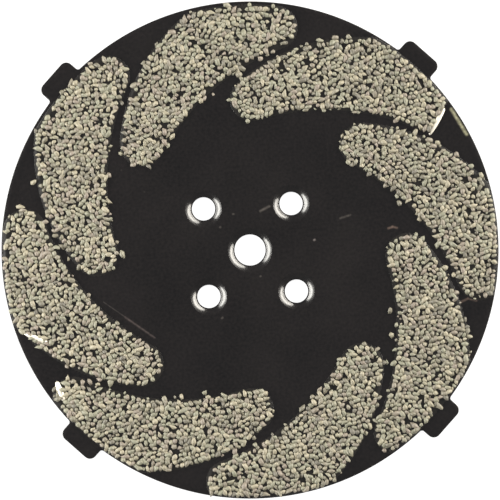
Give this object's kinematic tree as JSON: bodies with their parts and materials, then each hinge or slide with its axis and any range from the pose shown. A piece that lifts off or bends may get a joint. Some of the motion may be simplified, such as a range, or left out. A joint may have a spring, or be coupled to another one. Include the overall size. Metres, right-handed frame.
{
  "type": "angle grinder carving disc",
  "caption": "Grit-faced carving disc: a black stamped steel plate with rim lugs, pressed countersunk screw holes and curved swirls of brazed carbide grit.",
  "frame": {"origin": "on the disc's axis, level with the tips of the pressed screw holes, which are its lowest points", "axes": "+Z out of the grit side along the disc's axis; the four rim lugs and the four screw holes lie on the diagonals between +X and +Y"},
  "size_m": [0.1524, 0.1524, 0.004],
  "materials": {
    "enamelled_steel": "satin black enamel on blanked steel sheet",
    "braze": "thin furnace-brazed film, darkened, semi-gloss",
    "carbide_grit": "pale crushed carbide grains, matt faces with glossy chips"
  },
  "bodies": {
    "root": {"backing_plate": "enamelled_steel", "braze_bed_1": "braze", "braze_bed_2": "braze", "braze_bed_3": "braze", "braze_bed_4": "braze", "braze_bed_5": "braze", "braze_bed_6": "braze", "braze_bed_7": "braze", "braze_bed_8": "braze", "carbide_grit_1": "carbide_grit", "carbide_grit_2": "carbide_grit", "carbide_grit_3": "carbide_grit", "carbide_grit_4": "carbide_grit", "carbide_grit_5": "carbide_grit", "carbide_grit_6": "carbide_grit", "carbide_grit_7": "carbide_grit", "carbide_grit_8": "carbide_grit"}
  },
  "joints": []
}
